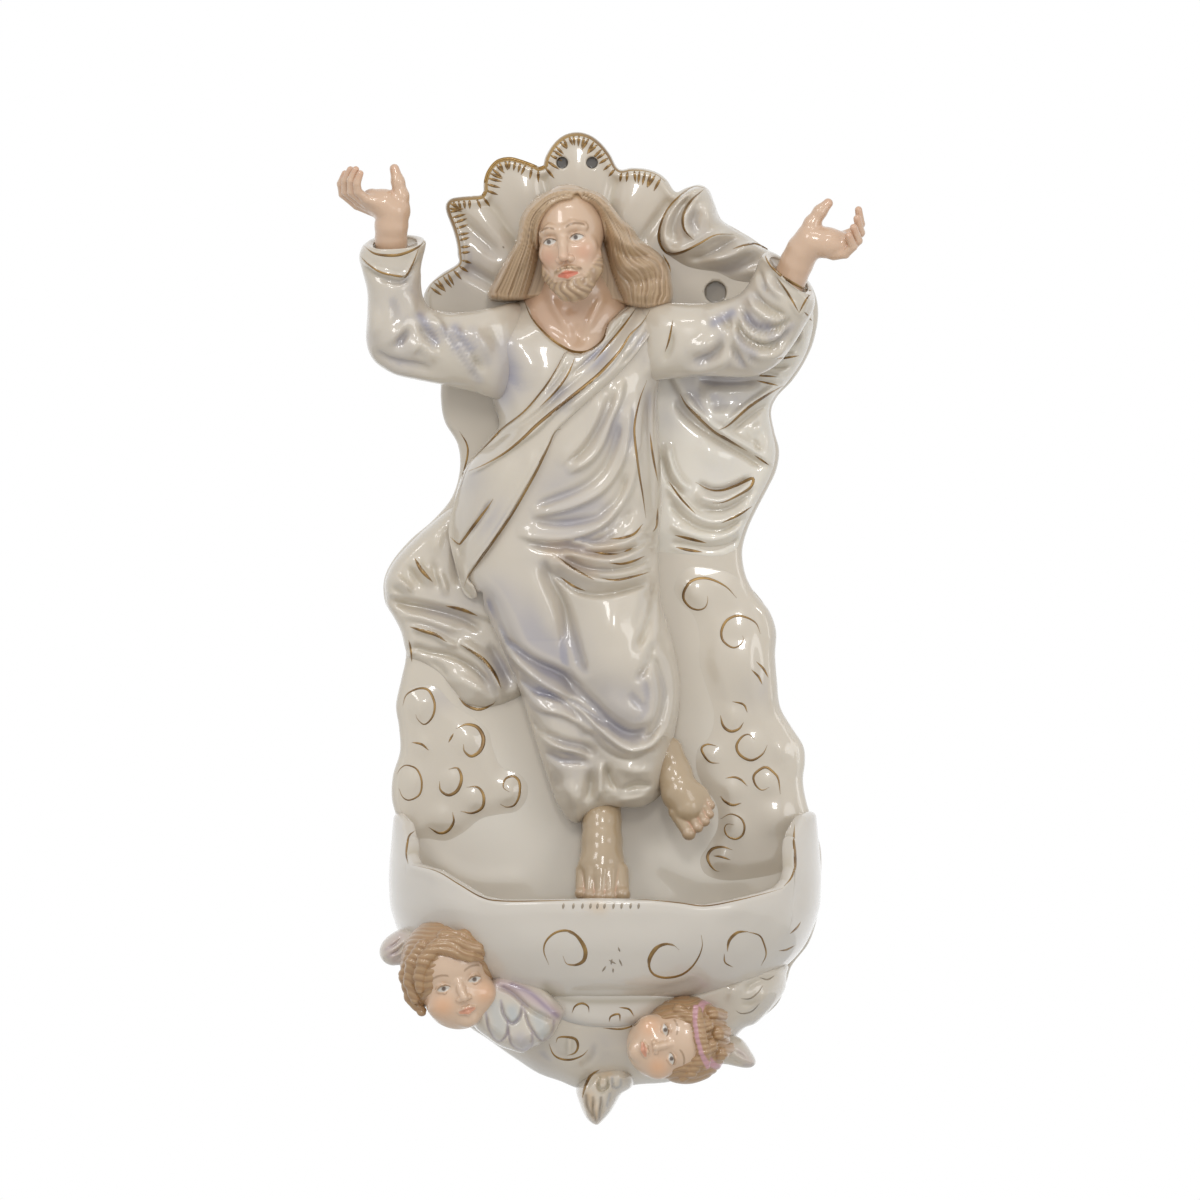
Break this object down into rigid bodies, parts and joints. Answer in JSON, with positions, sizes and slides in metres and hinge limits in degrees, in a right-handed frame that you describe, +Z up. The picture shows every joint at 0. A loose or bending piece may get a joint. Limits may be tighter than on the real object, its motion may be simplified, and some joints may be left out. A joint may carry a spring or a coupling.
{
  "type": "holy water stoup",
  "caption": "Wall-hung porcelain holy water stoup: a robed figure with open arms on a shell and cloud plate, above a round-fronted water basin carried by a cloud with winged cherub heads.",
  "frame": {"origin": "midway between the two hanging holes, on the wall plane", "axes": "+Z up, +X to the right seen from the front, +Y into the wall, so the object stands out from the wall along -Y"},
  "size_m": [0.159, 0.0603, 0.299],
  "materials": {
    "porcelain": "clear gloss glaze over cream-white porcelain",
    "skin_enamel": "thin flesh-tone enamel on the glaze, gloss",
    "hair_enamel": "thin brown enamel brushed on the glaze, gloss",
    "gilding": "worn painted gold lines, satin"
  },
  "bodies": {
    "root": {"back_plate": "porcelain", "cloak_curl": "porcelain", "cloak_right": "porcelain", "cloak_left": "porcelain", "cloud_left": "porcelain", "cloud_right": "porcelain", "basin": "porcelain", "foot_ring": "porcelain", "cloud_corbel": "porcelain", "robe": "porcelain", "mantle": "porcelain", "right_sleeve": "porcelain", "left_sleeve": "porcelain", "right_hand": "skin_enamel", "left_hand": "skin_enamel", "neck": "skin_enamel", "head": "skin_enamel", "hair": "hair_enamel", "right_foot": "skin_enamel", "left_foot": "skin_enamel", "left_cherub_head": "skin_enamel", "left_cherub_hair": "hair_enamel", "right_cherub_head": "skin_enamel", "right_cherub_hair": "hair_enamel", "left_cherub_outer_wing": "porcelain", "left_cherub_inner_wing": "porcelain", "right_cherub_lower_wing": "porcelain", "right_cherub_outer_wing": "porcelain"}
  },
  "joints": []
}
